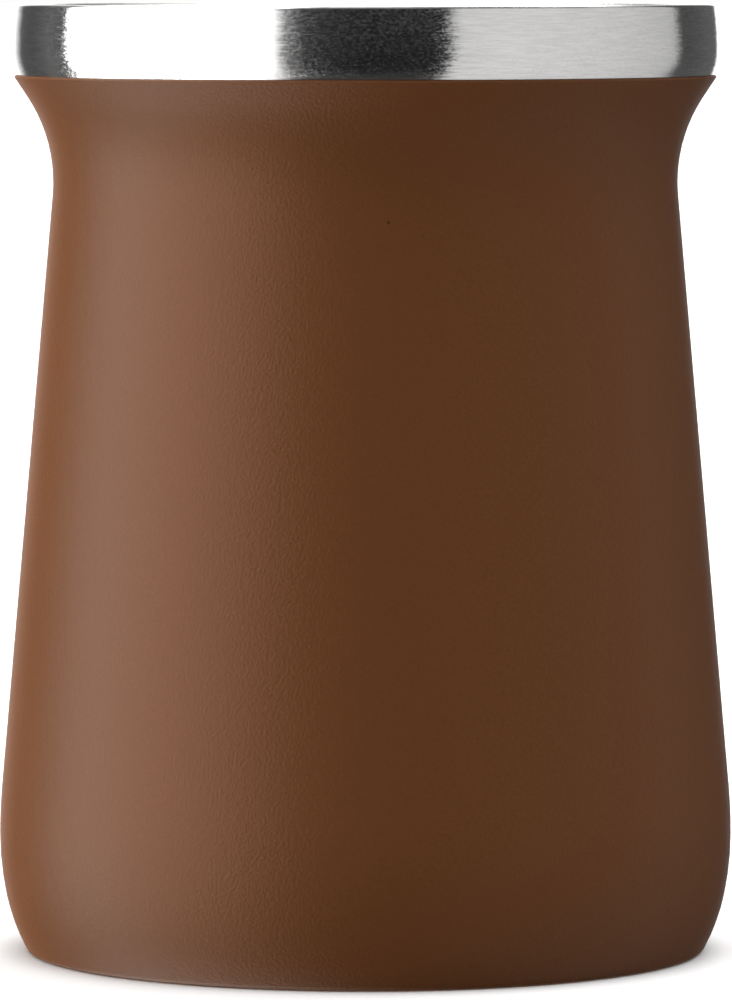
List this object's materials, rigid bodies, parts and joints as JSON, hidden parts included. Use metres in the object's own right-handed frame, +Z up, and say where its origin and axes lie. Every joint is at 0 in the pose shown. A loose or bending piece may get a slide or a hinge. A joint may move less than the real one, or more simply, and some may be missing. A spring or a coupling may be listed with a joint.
{
  "type": "mate cup",
  "caption": "Empty insulated steel mate cup: brown coated flask with a waist under a bare steel rim band, a straight side widening to a rounded belly, and a smooth steel inside.",
  "frame": {"origin": "centre of the foot ring, on the surface that the cup stands on", "axes": "+Z up along the turning axis; the cup is the same all round, so +X and +Y are free"},
  "size_m": [0.0774, 0.0774, 0.1],
  "materials": {
    "brown_coat": "satin powder coat with a fine orange peel",
    "brushed_steel": "bare stainless steel, finely brushed round the cup"
  },
  "bodies": {
    "root": {"coated_body": "brown_coat", "steel_liner": "brushed_steel"}
  },
  "joints": []
}
